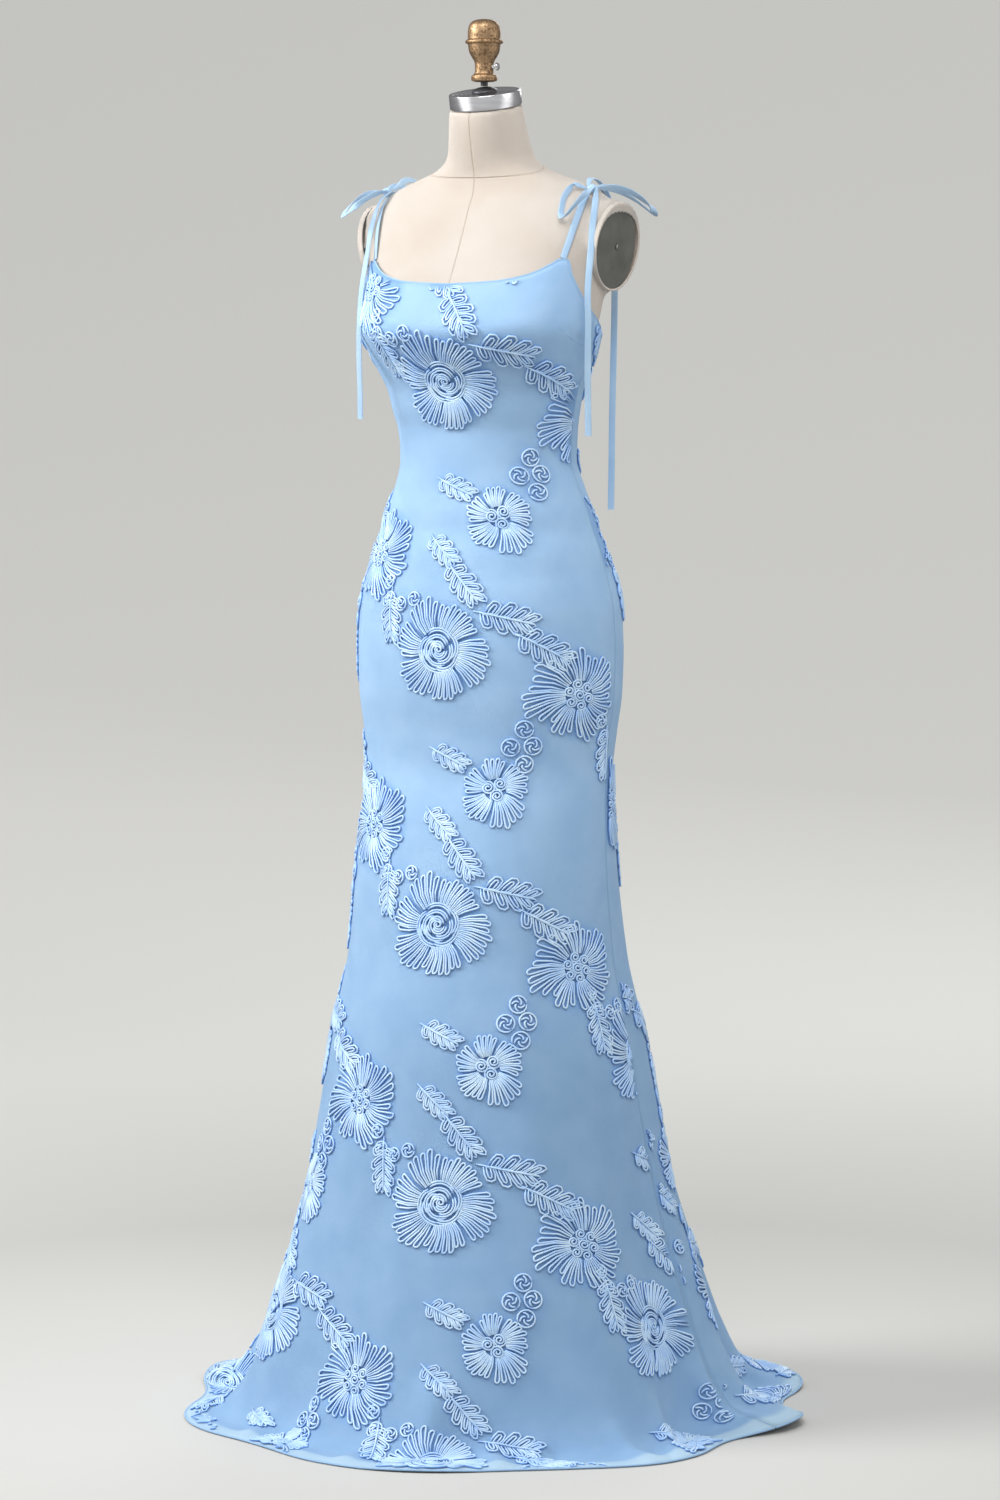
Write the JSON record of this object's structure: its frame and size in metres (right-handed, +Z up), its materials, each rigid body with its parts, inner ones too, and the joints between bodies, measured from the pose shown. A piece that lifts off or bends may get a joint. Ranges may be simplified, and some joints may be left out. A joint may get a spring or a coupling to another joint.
{
  "type": "mermaid prom dress on a dress form",
  "caption": "Floor-length mermaid dress with tied shoulder straps and raised cord flowers, standing on a limbless dress form with a neck cap, turned finial and round stand",
  "frame": {"origin": "centre of the underside of the stand's base, on the floor", "axes": "+Z up, the dress faces -Y, the wearer's left is +X"},
  "size_m": [0.7527, 0.7528, 1.6218],
  "materials": {
    "blue_crepe": "matte light blue crepe with raised satin cord flowers",
    "blue_tie": "soft light blue fabric tie",
    "cream_linen": "matte cream cloth cover",
    "brushed_steel": "brushed",
    "old_brass": "antique",
    "grey_plate": "dark grey, satin",
    "dark_metal": "dark satin",
    "nickel": "plain nickel"
  },
  "bodies": {
    "dress": {"dress_front": "blue_crepe", "dress_back_left": "blue_crepe", "dress_back_right": "blue_crepe", "strap_front_left": "blue_tie", "strap_back_left": "blue_tie", "strap_front_right": "blue_tie", "strap_back_right": "blue_tie", "knot_left": "blue_tie", "knot_right": "blue_tie", "loop_front_left": "blue_tie", "loop_back_left": "blue_tie", "loop_front_right": "blue_tie", "loop_back_right": "blue_tie", "tail_front_left": "blue_tie", "tail_back_left": "blue_tie", "tail_front_right": "blue_tie", "tail_back_right": "blue_tie", "zip_slider": "nickel", "torso": "cream_linen", "arm_plate_left": "grey_plate", "arm_plate_right": "grey_plate", "plate_bolt_left": "nickel", "plate_bolt_right": "nickel", "neck_cap": "brushed_steel", "neck_washer": "dark_metal", "neck_stem": "dark_metal", "finial": "old_brass", "stand_pole": "dark_metal", "stand_base": "dark_metal"},
    "zip_pull": {"zip_pull": "nickel"},
    "thumb_screw": {"thumb_screw": "nickel"}
  },
  "joints": [
    {"name": "pull_tab_swing", "type": "hinge", "parent": "dress", "child": "zip_pull", "pos_m": [0, 0.0961, 1.2542], "axis": [1, 0, 0], "range_deg": [0, 110]},
    {"name": "thumb_screw_turn", "type": "hinge", "parent": "dress", "child": "thumb_screw", "pos_m": [0.0123, -0.00841, 1.567], "axis": [1, 0, 0], "continuous": true}
  ]
}
